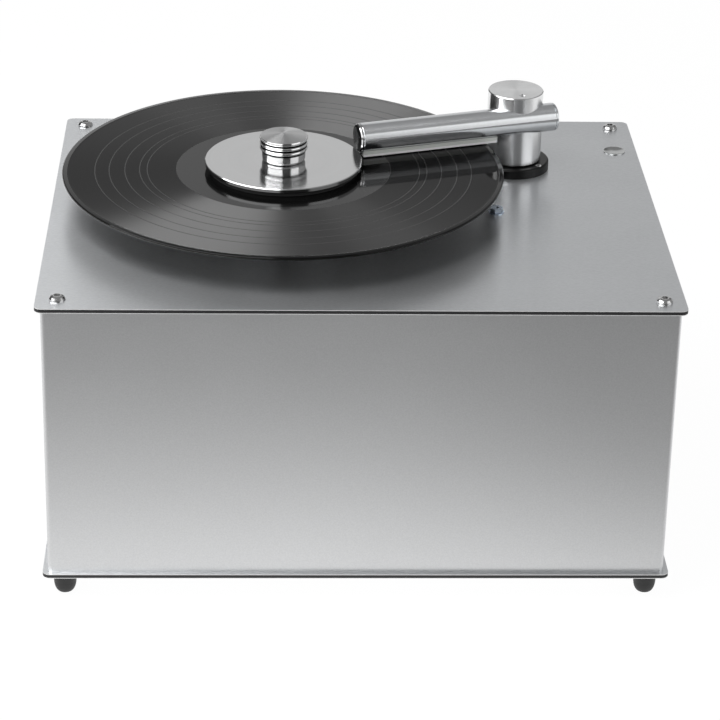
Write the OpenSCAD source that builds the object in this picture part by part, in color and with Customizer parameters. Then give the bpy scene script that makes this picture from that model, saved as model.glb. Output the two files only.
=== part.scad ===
// Record cleaning machine: a turntable with a suction arm on a folded sheet cabinet.
// Millimetres, +Z up. The origin is on the floor, at the middle of the whole outline.
// Below, "deck" is the frame of the top plate: z is 0 on its upper face, x and y at its middle.

/* [Plates] */
// Width of the top and bottom plates
plate_w = 415; // [400:1:450]
// Depth of the top and bottom plates
plate_d = 329; // [324:1:360]
// Thickness of the composite plates
plate_t = 3; // [2.5:0.5:4]
// Thickness of the aluminium skins on the plates' dark core
skin_t = 0.4; // [0.3:0.1:0.6]
// Corner radius of the plates
plate_corner_r = 5; // [3:1:8]

/* [Cabinet] */
// Height of the cabinet walls between the plates
cabinet_h = 190.5; // [180:0.5:220]
// How far the plates stand out past the walls
plate_overhang = 3.5; // [3:0.5:5]
// Thickness of the folded wall sheet
sheet_t = 2; // [1.5:0.5:2.5]
// Outer bend radius of the folded wall sheet
bend_r = 3; // [3:0.5:5]
// Width of the rear flanges of the folded sheet
rear_flange_w = 14; // [12:1:18]
// Distance of the corner screws from the plate edges
corner_inset = 14; // [13:0.5:15]
// Radius of the corner posts
post_rod_r = 5; // [4.5:0.5:5]

/* [Feet] */
// Height of the rubber feet
foot_h = 16.5; // [12:0.5:25]
// Radius of the feet at the top
foot_r = 8.5; // [7:0.1:10]

/* [Screws] */
// Shank radius of the corner screws
screw_r = 2.5; // [2:0.1:2.6]
// Head radius of the corner screws
screw_head_r = 5.4; // [4.5:0.1:6]
// Head height of the corner screws
screw_head_h = 3.25; // [2:0.25:3.5]

/* [Record and platter] */
// Radius of the record
record_r = 150.8; // [148:0.2:151]
// Thickness of the record at its label and rim
record_t = 1.8; // [1.6:0.1:2.4]
// Depth of the grooved band below the label and rim
groove_relief = 0.2; // [0.1:0.05:0.3]
// Gap from the record to the left and back edges of the top plate
record_edge_gap = 7.5; // [6:0.5:10]
// Height of the record's upper face above the deck
record_h = 26.8; // [25:0.2:29]
// Radius of the platter
platter_r = 50; // [44:1:52]
// Thickness of the platter disc
platter_t = 6; // [4:0.5:8]
// Thickness of the platter's rubber mat
mat_t = 1.5; // [1:0.25:2]
// Radius of the spindle pin
pin_r = 3.55; // [3.5:0.01:3.6]
// Radius of the spindle shaft
shaft_r = 6; // [5:0.5:7]

/* [Clamp] */
// Radius of the clamp disc
clamp_r = 53.8; // [48:0.1:54.2]
// Thickness of the clamp disc
clamp_t = 3; // [2:0.25:4]
// Thickness of the rubber seal under the clamp disc
seal_t = 3.4; // [2:0.2:4]
// Radius of the rubber seal
seal_r = 50.5; // [45:0.5:52]
// Radius of the clamp knob over its ribs
knob_r = 16.5; // [14:0.5:20]
// Height of the clamp knob
knob_h = 17.9; // [16:0.1:22]
// Pitch of the knob's ribs
rib_pitch = 3.6; // [3:0.1:4]
// Number of ribs on the knob
rib_count = 3; // [2:1:3]
// How far the knob's ribs bulge out
rib_bulge = 1.3; // [0.8:0.1:1.6]
// Radius of the flat in the middle of the knob's top
knob_flat_r = 7; // [5:0.5:10]

/* [Arm] */
// Distance of the arm post to the right of the spindle
post_right = 164.2; // [162:0.2:166]
// Distance of the arm post behind the spindle
post_behind = 70.8; // [68:0.2:73]
// Radius of the arm post
post_r = 19.5; // [18.5:0.5:20]
// Height of the post's top above the deck
post_top = 58.3; // [56:0.1:64]
// Radius of the black flange under the post
flange_r = 25.5; // [25:0.5:27]
// Thickness of the flange
flange_t = 6.6; // [5:0.2:8]
// Gap between the flange and the post when the arm is up
post_gap = 0.7; // [0.7:0.1:1]
// Radius of the suction tube
tube_r = 10; // [9.5:0.25:10.5]
// Wall of the suction tube
tube_wall = 1.5; // [1:0.25:2]
// Height of the tube's axis above the deck
tube_h = 40; // [39.8:0.1:41]
// Distance of the tube's axis from the post's axis
tube_offset = 12.5; // [11:0.5:13]
// Gap between the arm's tip and the clamp disc
tip_gap = 1.76; // [1.5:0.02:4]
// Length of the tube's tail past the post's axis
tube_tail = 25; // [24:0.5:30]
// Angle of the arm across the deck in its working place
arm_angle = 17.1; // [14:0.1:19]
// Width of the nozzle bar and its velvet strips
nozzle_w = 12; // [10:0.5:13]
// Width of the suction slot
slot_w = 3; // [2:0.25:4]
// Thickness of the velvet strips
velvet_t = 1.6; // [1:0.1:2]
// Height of the velvet over the record when the arm is up
hover = 0.7; // [0.5:0.1:0.8]
// Flange face thickness of the plugs in the tube's ends
plug_face_t = 1.8; // [1.2:0.2:2.4]

/* [Arm lift] */
// Outer radius of the lift sleeve
sleeve_r = 12; // [11.5:0.1:12.5]
// Outer radius of the hollow stem
stem_r = 9; // [8.6:0.1:9.4]
// Wall of the hollow stem
stem_wall = 2; // [1.5:0.5:2.5]
// Outer radius of the socket under the deck
socket_r = 15; // [14.5:0.5:15]
// Length of the socket below the deck
socket_len = 70; // [60:1:70]
// Radius of the lift spring's wire
spring_wire_r = 0.9; // [0.7:0.1:1]
// Number of turns of the lift spring
spring_turns = 7; // [5:1:8]

/* [Drive] */
// Radius of the gear motor
motor_r = 18.5; // [16:0.5:20]
// Length of the motor can
motor_len = 55; // [45:1:60]
// Length of the gearbox
gearbox_len = 27; // [20:1:30]
// Spacing of the stand-offs that carry the motor bracket
standoff_pitch = 48; // [46:1:54]

/* [Vacuum] */
// Radius of the fan housing
fan_r = 62; // [58:1:64]
// Height of the fan housing
fan_h = 45; // [40:1:48]
// Number of blades on the impeller
blade_count = 9; // [7:1:11]
// Outer radius of the hoses
hose_r = 8; // [7.5:0.5:9]
// Outer radius of the spigots that the hoses sit on
spigot_r = 6; // [5:0.25:6.5]
// Width of the waste tank
tank_w = 105; // [90:1:108]
// Depth of the waste tank
tank_d = 240; // [215:1:250]
// Height of the waste tank
tank_h = 78; // [60:1:78]

/* [Rear and side fittings] */
// Radius of the drain plug's head
plug_head_r = 9; // [8:0.5:10]
// How far the drain plug's head stands out past the plates
plug_stand = 5.5; // [4:0.5:8]
// Width of the power inlet's flange
inlet_w = 31; // [30:1:34]
// Height of the power inlet's flange
inlet_h = 42; // [41:1:46]
// Width of a switch frame
switch_w = 16; // [15:0.5:18]
// Height of a switch frame
switch_h = 24; // [23.5:0.5:27]
// Tilt of a rocker from its middle
rocker_tilt = 8; // [6:0.5:9]

/* [Hidden] */
$fn = 96;

// Clearances: a shaft or slide in its bore, and pieces of one body fitted together
run_gap = 0.08;
fit_gap = 0.02;
// Gap kept between faces of different bodies that would rub
seat_gap = 0.3;
cut = 1;
// Play of a screw in its clearance hole
screw_slack = 0.2;
stud_depth = 8;
thread_len = 12;
tap_depth = thread_len + 3;
corner_key_r = 2.3;

deck_z = foot_h + 2 * plate_t + cabinet_h;
wrap_w = plate_w - 2 * plate_overhang;
wrap_d = plate_d - 2 * plate_overhang;
floor_z = -plate_t - cabinet_h;
corner_x = plate_w / 2 - corner_inset;
corner_y = plate_d / 2 - corner_inset;
panel_y = wrap_d / 2;
record_x = -plate_w / 2 + record_edge_gap + record_r;
record_y = plate_d / 2 - record_edge_gap - record_r;
post_x = record_x + post_right;
post_y = record_y + post_behind;

// Heights on the platter, from the deck
mat_z = record_h - record_t - mat_t;
platter_z = mat_z - platter_t;
bearing_t = 4;
bearing_r = 11;
bearing_flange_r = 17;
bearing_len = 25;
collar_t = 3;
platter_boss_r = 13;
clamp_z = record_h + seal_t;
clamp_top = clamp_z + clamp_t;
pin_len = 9;
label_r = 50;
rim_w = 4.6;
knob_foot_r = 11.6;
knob_foot_h = 5.9;
knob_neck_r = knob_r - 1.2;
knob_flare_h = 3;
knob_edge = 0.5;
rib_reach = 75;
rib_step = 15;
disc_bevel = 0.5;

// Drive under the platter
shaft_end = -40;
coupling_r = 9.5;
coupling_top = -32;
coupling_len = 30;
output_r = 3;
bracket_t = 2.5;
bracket_z = -68;
bracket_margin = 7;
standoff_r = 4;
motor_boss_r = 6;
motor_boss_h = 2;
end_boss_h = 3;
output_depth = 9;

// Arm heights and parts, from the deck
post_z = flange_t + post_gap;
velvet_z = record_h + hover;
bar_z = velvet_z + velvet_t;
bar_top = tube_h - tube_r * 0.84;
tube_reach = post_right * cos(arm_angle) + post_behind * sin(arm_angle) - clamp_r - tip_gap;
tube_len = tube_reach + tube_tail - 2 * plug_face_t;
tube_bevel = 0.5;
plug_bevel = 0.7;
plug_lip = 0.2;
plug_spigot_len = 6;
plug_sphere_r = 28;
air_hole_r = 3.5;
set_screw_r = 2.2;
set_key_r = 1.2;
set_recess = 0.9;
nozzle_tip = 2.9;
nozzle_end_gap = 0.8;
nozzle_len = tube_reach - nozzle_tip - post_r - nozzle_end_gap;
slot_margin = 4;
stem_top = tube_h - tube_r - seat_gap;
stem_end = -socket_len - 8;
sleeve_top = post_z;
sleeve_end = -34;
ledge_t = 6;
ledge_z = -socket_len + ledge_t;
socket_bore = sleeve_r + run_gap;
chamber_wall = 3;
chamber_seat = 10;
flange_screw_r = 1.5;
flange_head_r = 2.1;
flange_head_t = 1.6;
flange_key_r = 1.1;
flange_edge_r = 1.4;
socket_rim_t = 4;
flange_pcd_r = (post_r + flange_r) / 2 + 0.2;
flange_screw_angle = -42;

// Vacuum unit, tank and hoses
fan_side_gap = 142;
fan_front_gap = 99;
fan_x = wrap_w / 2 - fan_side_gap;
fan_y = -wrap_d / 2 + fan_front_gap;
fan_wall = 3;
vac_r = 40;
vac_rim_h = 6;
vac_shaft_len = 22;
vac_vents = 6;
vac_vent_d = 4;
mount_t = 5.5;
vac_z = floor_z + mount_t;
outlet_w = 30;
outlet_h = 24;
outlet_len = 14;
outlet_lift = 6;
lug_w = 50;
impeller_r = fan_r - fan_wall - 4;
impeller_gap = 2;
blade_arc_r = 32;
blade_arc_d = 24;
blade_in_r = 16;
blade_t = 1.6;
hose_bend = 20;
spigot_len = 12;
spigot_wall = 1.5;
tank_wall = 2.5;
tank_wall_gap = 12;
tank_rear_gap = 59;
tank_corner_r = 12;
tank_x = -wrap_w / 2 + sheet_t + tank_wall_gap + tank_w / 2;
tank_y = panel_y - sheet_t - tank_rear_gap - tank_d / 2;
lid_t = 4;
lid_lip = 1;
tank_bore_in = 6;
lid_inset = tank_wall + fit_gap;
tank_top = floor_z + tank_h;
hose_end_gap = 1;
hose_foot_z = tank_top + lid_t + hose_end_gap;
hose_z = hose_foot_z + spigot_len + hose_bend;
chamber_z = hose_z - spigot_r - chamber_wall - hose_end_gap;
chamber_h = -socket_len + chamber_seat - chamber_z;
fan_top = hose_z - hose_bend - hose_end_gap - spigot_len;
fan_z = fan_top - fan_h;
hose_tank_x = tank_x + tank_w / 6;
vacuum_tank_x = tank_x;
drain_x = tank_x + tank_w / 6;
drain_z = floor_z + 13.5;
bracket_y = fan_y + fan_r;
bracket_sheet_t = 1.5;
bracket_lap = 15;
bracket_w = 92;
bolt_y = bracket_y - 7;
bolt_x = [fan_x + 35, fan_x - 35];
bolt_r = 2.5;
bolt_head_r = 4.6;
bolt_head_h = 2.9;
bolt_turn = 12;
washer_r = 5.2;
washer_t = 0.8;
nut_t = 4;
plug_x = plate_w / 2 - 16;
plug_y = plate_d / 2 - 58.1;
plug_r = 7.85;
plug_stem_r = 7;
plug_rim_h = 0.6;
plug_dish_r = 20.5;
plug_dish_depth = 0.8;

// Rear fittings
rear_screw_r = 1.5;
rear_head_r = 2.8;
rear_head_h = 1.6;
rear_key_r = 1;
inlet_x = wrap_w / 2 - 54;
inlet_z = floor_z + 43.5;
inlet_flange_t = 2.5;
inlet_depth = 26;
socket_w = 24;
socket_h = 16.5;
socket_depth = 17;
drawer_h = 8;
drawer_depth = 20;
drawer_gap = 0.1;
pin_recess = 4.8;
pin_w = 2;
pin_h = 4;
inlet_inset = 2.1;
inlet_corner_r = 3;
inlet_margin = 4;
socket_z = -inlet_h / 2 + inlet_margin;
drawer_z = inlet_h / 2 - inlet_margin - drawer_h;
socket_y = inlet_flange_t - socket_depth;
drawer_wall = 3;
grip_w = 8;
vent_rows = 9;
vent_side_gap = 174;
vent_x = wrap_w / 2 - vent_side_gap;
vent_z = -70;
vent_len = 40;
vent_h = 3;
vent_pitch = 8;
vent_column_pitch = vent_len + 4 * vent_h;
drain_bore_r = 5;
drain_flange_r = 11;
drain_flange_t = 1.5;
drain_body_r = 8;
port_len = 21;
port_nut_r = 12;
port_nut_t = 4;
drain_bore_len = 14;
grip_count = 12;
grip_r = 1.2;

// Board beside the right wall
board_w = 56;
board_d = 110;
board_t = 1.6;
board_x = wrap_w / 2 - sheet_t - 6 - board_w;
board_rear_gap = 71;
board_y = panel_y - board_rear_gap - board_d;
board_inset = 5;
pillar_r = 2.5;
pillar_h = 6;
coil_w = 40;
coil_h = 34;
relay_w = 28;
relay_h = 16;

// Side switches, on the right wall
switch_front_gap = 39;
switch_pitch = 30;
switch_y = [-wrap_d / 2 + switch_front_gap, -wrap_d / 2 + switch_front_gap + switch_pitch];
switch_z = -42;
bezel_t = 1.5;
switch_wall = 1.6;
switch_depth = 16;
rocker_pivot = 4;
rocker_face = 1.8;
rocker_dip = 0.7;
rocker_pin_r = 1.2;
rocker_end_gap = 1.2;
rocker_w = switch_w - 5.4;
rocker_open = switch_h - 5.2;
rocker_pin_len = rocker_w + 1.6;
switch_inset = 1.1;
tab_len = 8;
tab_w = 6;
tab_t = 0.8;

rear_reach = plate_d / 2 + plug_stand;
shift_y = -(rear_reach - plate_d / 2) / 2;

module deck() {
    translate([0, shift_y, deck_z]) children();
}

module at_record() {
    translate([record_x, record_y, 0]) children();
}

// The arm's own frame: x runs along the tube, away from its tip
module arm_frame() {
    translate([post_x, post_y, 0]) rotate([0, 0, arm_angle]) children();
}

module along_tube(x0, len, r) {
    translate([x0, -tube_offset, tube_h]) rotate([0, 90, 0]) cylinder(h = len, r = r);
}

module at_corners() {
    for (sx = [-1, 1], sy = [-1, 1]) translate([sx * corner_x, sy * corner_y, 0]) children();
}

module rounded_rect(w, d, r) {
    square([w - 2 * r, d], center = true);
    square([w, d - 2 * r], center = true);
    for (sx = [-1, 1], sy = [-1, 1]) translate([sx * (w / 2 - r), sy * (d / 2 - r)]) circle(r = r);
}

module tube(h, r, bore) {
    difference() {
        cylinder(h = h, r = r);
        translate([0, 0, -cut]) cylinder(h = h + 2 * cut, r = bore);
    }
}

// Button head screw: dome above z = 0, shank below it, hexagon socket in the dome
module button_screw(head_r, head_h, shank_r, shank_len, key_r) {
    difference() {
        union() {
            rotate_extrude() polygon([
                [0, head_h], [head_r * 0.5, head_h], [head_r * 0.78, head_h * 0.8],
                [head_r * 0.95, head_h * 0.42], [head_r, 0], [0, 0]
            ]);
            translate([0, 0, -shank_len]) cylinder(h = shank_len + cut / 2, r = shank_r);
        }
        translate([0, 0, head_h * 0.4]) cylinder(h = head_h, r = key_r, $fn = 6);
    }
}

module arm_hole_pattern() {
    for (i = [0 : 2]) rotate([0, 0, flange_screw_angle + 120 * i]) translate([flange_pcd_r, 0, 0])
        children();
}

// One layer of the top plate, with every hole that goes through it
module top_layer(z, t) difference() {
    translate([0, 0, z]) linear_extrude(t) rounded_rect(plate_w, plate_d, plate_corner_r);
    translate([0, 0, z - cut]) {
        at_corners() cylinder(h = t + 2 * cut, r = screw_r + screw_slack);
        at_record() cylinder(h = t + 2 * cut, r = bearing_r + fit_gap);
        translate([post_x, post_y, 0]) {
            cylinder(h = t + 2 * cut, r = socket_r + fit_gap);
            arm_hole_pattern() cylinder(h = t + 2 * cut, r = flange_screw_r + fit_gap);
        }
        translate([plug_x, plug_y, 0]) cylinder(h = t + 2 * cut, r = plug_stem_r + fit_gap);
        for (x = bolt_x) translate([x, bolt_y, 0]) cylinder(h = t + 2 * cut, r = bolt_r + screw_slack);
    }
}

module bottom_layer(z, t) difference() {
    translate([0, 0, z]) linear_extrude(t) rounded_rect(plate_w, plate_d, plate_corner_r);
    translate([0, 0, z - cut]) at_corners() cylinder(h = t + 2 * cut, r = screw_r + screw_slack);
}

// Composite plates: two aluminium skins bonded to a dark core
module top_plate() color([0.74, 0.75, 0.76]) deck() {
    top_layer(-skin_t, skin_t);
    top_layer(-plate_t, skin_t);
}

module top_plate_core() color([0.05, 0.05, 0.05]) deck() top_layer(-plate_t + skin_t, plate_t - 2 * skin_t);

module bottom_plate() color([0.72, 0.73, 0.74]) deck() {
    bottom_layer(floor_z - skin_t, skin_t);
    bottom_layer(floor_z - plate_t, skin_t);
}

module bottom_plate_core() color([0.05, 0.05, 0.05]) deck()
    bottom_layer(floor_z - plate_t + skin_t, plate_t - 2 * skin_t);

// Front and both sides in one folded sheet, with two flanges at the back
module cabinet_wrap() color([0.78, 0.79, 0.8]) deck() difference() {
    translate([0, -sheet_t / 2, floor_z]) linear_extrude(cabinet_h) difference() {
        rounded_rect(wrap_w, wrap_d - sheet_t, bend_r);
        rounded_rect(wrap_w - 2 * sheet_t, wrap_d - 3 * sheet_t, bend_r - sheet_t + 0.5);
        translate([-wrap_w / 2 + rear_flange_w, 0]) square([wrap_w - 2 * rear_flange_w, wrap_d]);
    }
    for (y = switch_y) translate([wrap_w / 2 - sheet_t - cut, y, switch_z])
        translate([0, -switch_w / 2 + 1, -switch_h / 2 + 1])
            cube([sheet_t + 2 * cut, switch_w - 2, switch_h - 2]);
    rear_screw_places() rotate([90, 0, 0])
        cylinder(h = 6 * sheet_t, r = rear_screw_r + fit_gap, center = true);
}

module rear_screw_places() {
    for (sx = [-1, 1], f = [0.08, 0.5, 0.92])
        translate([sx * (wrap_w / 2 - rear_flange_w / 2), panel_y, floor_z + f * cabinet_h]) children();
}

module rear_panel() color([0.7, 0.71, 0.72]) deck() difference() {
    translate([-wrap_w / 2, panel_y - sheet_t, floor_z]) cube([wrap_w, sheet_t, cabinet_h]);
    rear_screw_places() rotate([90, 0, 0])
        cylinder(h = 6 * sheet_t, r = rear_screw_r + fit_gap, center = true);
    translate([inlet_x, panel_y, inlet_z])
        cube([inlet_w - 4, 6 * sheet_t, inlet_h - 4], center = true);
    translate([drain_x, panel_y, drain_z]) rotate([90, 0, 0])
        cylinder(h = 6 * sheet_t, r = drain_body_r + fit_gap, center = true);
    for (col = [0, 1], row = [0 : vent_rows - 1])
        translate([vent_x + col * vent_column_pitch, panel_y - sheet_t - cut, vent_z - row * vent_pitch])
            vent_slot(vent_len, vent_h);
}

// A slot with round ends, cut along +Y
module vent_slot(len, h) {
    cube([len, sheet_t + 2 * cut, h]);
    for (x = [0, len]) translate([x, 0, h / 2]) rotate([-90, 0, 0])
        cylinder(h = sheet_t + 2 * cut, r = h / 2);
}

module rear_panel_screws() color([0.8, 0.8, 0.82]) deck() rear_screw_places()
    rotate([-90, 0, 0]) button_screw(rear_head_r, rear_head_h, rear_screw_r, 2.5 * sheet_t, rear_key_r);

module corner_posts() color([0.75, 0.75, 0.76]) deck() at_corners() difference() {
    translate([0, 0, floor_z]) cylinder(h = cabinet_h, r = post_rod_r);
    translate([0, 0, floor_z - cut]) cylinder(h = tap_depth + cut, r = screw_r);
    translate([0, 0, -plate_t - tap_depth]) cylinder(h = tap_depth + cut, r = screw_r);
}

module top_screws() color([0.82, 0.82, 0.84]) deck() at_corners()
    button_screw(screw_head_r, screw_head_h, screw_r - fit_gap, plate_t + thread_len, corner_key_r);

// Round-bottomed rubber foot, moulded on a threaded stud
module feet() color([0.06, 0.06, 0.06]) translate([0, shift_y, 0]) at_corners() difference() {
    rotate_extrude() polygon(concat(
        [[0, 0], [foot_r * 0.45, 0]],
        [for (a = [20 : 10 : 90]) [
            foot_r * (0.45 + 0.43 * sin(a)), foot_h * 0.5 * (1 - cos(a))
        ]],
        [[foot_r, foot_h], [0, foot_h]]
    ));
    translate([0, 0, foot_h - stud_depth - fit_gap]) cylinder(h = foot_h, r = screw_r);
}

module foot_studs() color([0.6, 0.6, 0.62]) translate([0, shift_y, 0]) at_corners()
    translate([0, 0, foot_h - stud_depth])
        cylinder(h = stud_depth + plate_t + thread_len, r = screw_r - fit_gap);

// Blanking plug with a dished polished face
module dished_plug() color([0.7, 0.71, 0.72]) deck() translate([plug_x, plug_y, 0]) difference() {
    union() {
        cylinder(h = plug_rim_h, r = plug_r);
        translate([0, 0, -plate_t - cut]) cylinder(h = plate_t + cut + plug_rim_h / 2, r = plug_stem_r);
    }
    translate([0, 0, plug_dish_r - plug_dish_depth]) sphere(r = plug_dish_r);
}

module bracket_bolts() color([0.72, 0.76, 0.8]) deck() for (x = bolt_x) translate([x, bolt_y, 0]) {
    cylinder(h = washer_t, r = washer_r);
    difference() {
        translate([0, 0, washer_t]) rotate([0, 0, bolt_turn])
            cylinder(h = bolt_head_h, r = bolt_head_r, $fn = 6);
        translate([0, 0, washer_t + bolt_head_h + 2]) sphere(r = 2.6);
    }
    translate([0, 0, -plate_t - 2 * nut_t]) cylinder(h = plate_t + 2 * nut_t + cut / 2, r = bolt_r);
    translate([0, 0, -plate_t - bracket_sheet_t - nut_t]) rotate([0, 0, 30])
        cylinder(h = nut_t, r = bolt_head_r, $fn = 6);
}

// Angle that hangs the fan housing from the deck
module fan_bracket() color([0.68, 0.69, 0.7]) deck() difference() {
    union() {
        translate([fan_x - bracket_w / 2, bracket_y - bracket_lap, -plate_t - bracket_sheet_t])
            cube([bracket_w, bracket_lap + bracket_sheet_t, bracket_sheet_t]);
        translate([fan_x - bracket_w / 3, bracket_y, fan_z + outlet_lift])
            cube([bracket_w * 2 / 3, bracket_sheet_t, -plate_t - fan_z - outlet_lift]);
    }
    for (x = bolt_x) translate([x, bolt_y, -plate_t - bracket_sheet_t - cut])
        cylinder(h = bracket_sheet_t + 2 * cut, r = bolt_r + fit_gap);
}

module spindle_bearing() color([0.2, 0.2, 0.21]) deck() at_record() difference() {
    union() {
        cylinder(h = bearing_t, r = bearing_flange_r);
        translate([0, 0, -bearing_len]) cylinder(h = bearing_len + cut, r = bearing_r);
    }
    translate([0, 0, -bearing_len - cut])
        cylinder(h = bearing_len + bearing_t + 2 * cut, r = shaft_r + run_gap);
}

module at_standoffs() {
    for (sx = [-1, 1], sy = [-1, 1])
        translate([sx * standoff_pitch / 2, sy * standoff_pitch / 2, 0]) children();
}

module motor_bracket() color([0.66, 0.67, 0.68]) deck() at_record() difference() {
    translate([0, 0, bracket_z]) linear_extrude(bracket_t)
        rounded_rect(standoff_pitch + 2 * bracket_margin, standoff_pitch + 2 * bracket_margin, motor_boss_r);
    translate([0, 0, bracket_z - cut]) cylinder(h = bracket_t + 2 * cut, r = motor_boss_r + seat_gap);
}

module motor_standoffs() color([0.8, 0.72, 0.4]) deck() at_record() at_standoffs()
    translate([0, 0, bracket_z + bracket_t])
        cylinder(h = -plate_t - bracket_z - bracket_t, r = standoff_r);

module gear_motor() color([0.35, 0.36, 0.38]) deck() at_record() difference() {
    union() {
        translate([0, 0, bracket_z - gearbox_len]) cylinder(h = gearbox_len, r = motor_r);
        translate([0, 0, bracket_z - cut]) cylinder(h = motor_boss_h + cut, r = motor_boss_r);
        translate([0, 0, bracket_z - gearbox_len - motor_len]) cylinder(h = motor_len + cut, r = motor_r - 1);
        translate([0, 0, bracket_z - gearbox_len - motor_len - end_boss_h])
            cylinder(h = end_boss_h + cut, r = motor_boss_r - 1);
    }
    translate([0, 0, bracket_z - output_depth - cut])
        cylinder(h = output_depth + motor_boss_h + 2 * cut, r = output_r + run_gap);
}

module arm_flange() color([0.05, 0.05, 0.05]) deck() translate([post_x, post_y, 0]) difference() {
    rotate_extrude() polygon(concat(
        [[socket_r + fit_gap, 0], [flange_r, 0]],
        [for (a = [0 : 15 : 90]) [
            flange_r - flange_edge_r * (1 - cos(a)), flange_t - flange_edge_r * (1 - sin(a))
        ]],
        [[socket_r + fit_gap, flange_t]]
    ));
    arm_hole_pattern() {
        translate([0, 0, -cut]) cylinder(h = flange_t + 2 * cut, r = flange_screw_r + fit_gap);
        translate([0, 0, flange_t - flange_head_t])
            cylinder(h = flange_head_t + cut, r = flange_head_r + fit_gap);
    }
}

module flange_screws() color([0.8, 0.8, 0.82]) deck() translate([post_x, post_y, 0])
    arm_hole_pattern() difference() {
        union() {
            translate([0, 0, flange_t - flange_head_t]) cylinder(h = flange_head_t + 0.2, r = flange_head_r);
            translate([0, 0, -plate_t - 2]) cylinder(h = plate_t + flange_t + cut, r = flange_screw_r);
        }
        translate([0, 0, flange_t - flange_head_t / 2])
            cylinder(h = flange_head_t, r = flange_key_r, $fn = 6);
    }

// Fixed tube under the flange, with the inner ledge that the lift spring stands on
module arm_socket() color([0.62, 0.63, 0.65]) deck() translate([post_x, post_y, 0]) difference() {
    union() {
        translate([0, 0, -socket_len]) cylinder(h = socket_len + flange_t - 0.6, r = socket_r);
        translate([0, 0, -plate_t - socket_rim_t]) cylinder(h = socket_rim_t, r = flange_r);
    }
    translate([0, 0, ledge_z]) cylinder(h = socket_len + flange_t, r = socket_bore);
    translate([0, 0, -socket_len - cut]) cylinder(h = ledge_t + 2 * cut, r = stem_r + run_gap);
    arm_hole_pattern() translate([0, 0, -plate_t - socket_rim_t - cut])
        cylinder(h = socket_rim_t + cut, r = flange_screw_r + fit_gap);
}

// Cup that turns the stem's air into the tank hose
module suction_chamber() color([0.1, 0.1, 0.1]) deck() translate([post_x, post_y, 0]) difference() {
    union() {
        translate([0, 0, chamber_z]) cylinder(h = chamber_h, r = socket_r + chamber_wall);
        translate([-socket_r - chamber_wall - spigot_len, 0, hose_z]) rotate([0, 90, 0])
            cylinder(h = spigot_len + 6, r = spigot_r);
    }
    translate([0, 0, -socket_len]) cylinder(h = chamber_h, r = socket_r + fit_gap);
    translate([0, 0, chamber_z + chamber_wall]) cylinder(h = chamber_h, r = stem_r + 3);
    translate([-socket_r - chamber_wall - spigot_len - cut, 0, hose_z]) rotate([0, 90, 0])
        cylinder(h = spigot_len + socket_r + chamber_wall, r = spigot_r - spigot_wall);
}

// A round bar swept along a helix, as one closed surface
function helix_ring(i, n, turns, r, z0, z1, wire, sides) =
    let (a = 360 * turns * i / n, z = z0 + (z1 - z0) * i / n)
    [for (k = [0 : sides - 1]) let (b = 360 * k / sides)
        [(r + wire * cos(b)) * cos(a), (r + wire * cos(b)) * sin(a), z + wire * sin(b)]];

module helix(turns, r, z0, z1, wire, steps_per_turn = 16, sides = 6) {
    n = turns * steps_per_turn;
    points = [for (i = [0 : n]) each helix_ring(i, n, turns, r, z0, z1, wire, sides)];
    walls = [for (i = [0 : n - 1], k = [0 : sides - 1]) let (
            a = i * sides + k, b = i * sides + (k + 1) % sides, c = a + sides, d = b + sides
        ) each [[a, c, b], [b, c, d]]];
    start = [[for (k = [0 : sides - 1]) k]];
    finish = [[for (k = [sides - 1 : -1 : 0]) n * sides + k]];
    polyhedron(points, concat(walls, start, finish));
}

module lift_spring() color([0.7, 0.7, 0.72]) deck() translate([post_x, post_y, 0])
    helix(spring_turns, (stem_r + socket_bore) / 2,
        ledge_z + spring_wire_r + 0.05, sleeve_end - spring_wire_r - 0.05, spring_wire_r);

// Hose that leaves a sideways spigot and bends down onto an upright one, bore open
module bent_hose_half(bend_x, y, x_from, z_end, dir) {
    translate([min(x_from, bend_x), y, hose_z]) rotate([0, 90, 0])
        tube(abs(bend_x - x_from), hose_r, spigot_r + fit_gap);
    translate([bend_x, y, hose_z - hose_bend]) rotate([90, 0, 0]) mirror([dir < 0 ? 1 : 0, 0, 0])
        rotate_extrude(angle = 90) translate([hose_bend, 0]) difference() {
            circle(r = hose_r, $fn = 32);
            circle(r = spigot_r + fit_gap, $fn = 32);
        }
    translate([bend_x + dir * hose_bend, y, z_end])
        tube(hose_z - hose_bend - z_end, hose_r, spigot_r + fit_gap);
}

module tank_hose() color([0.16, 0.16, 0.17]) deck()
    bent_hose_half(hose_tank_x + hose_bend, post_y, post_x - socket_r - chamber_wall - hose_end_gap,
        hose_foot_z, -1);

module vacuum_hose() color([0.16, 0.16, 0.17]) deck() {
    middle = (vacuum_tank_x + fan_x) / 2;
    bent_hose_half(vacuum_tank_x + hose_bend, fan_y, middle, hose_foot_z, -1);
    bent_hose_half(fan_x - hose_bend, fan_y, middle, fan_top + hose_end_gap, 1);
}

module waste_tank() color([0.9, 0.9, 0.88]) deck() difference() {
    union() {
        translate([tank_x, tank_y, floor_z]) linear_extrude(tank_h)
            rounded_rect(tank_w, tank_d, tank_corner_r);
        translate([drain_x, tank_y + tank_d / 2 - cut, drain_z]) rotate([-90, 0, 0])
            cylinder(h = spigot_len + cut, r = spigot_r);
    }
    translate([tank_x, tank_y, floor_z + tank_wall]) linear_extrude(tank_h)
        rounded_rect(tank_w - 2 * tank_wall, tank_d - 2 * tank_wall, tank_corner_r - tank_wall);
    translate([drain_x, tank_y + tank_d / 2 - tank_bore_in, drain_z]) rotate([-90, 0, 0])
        cylinder(h = spigot_len + tank_bore_in + 2 * cut, r = spigot_r - spigot_wall);
}

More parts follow.
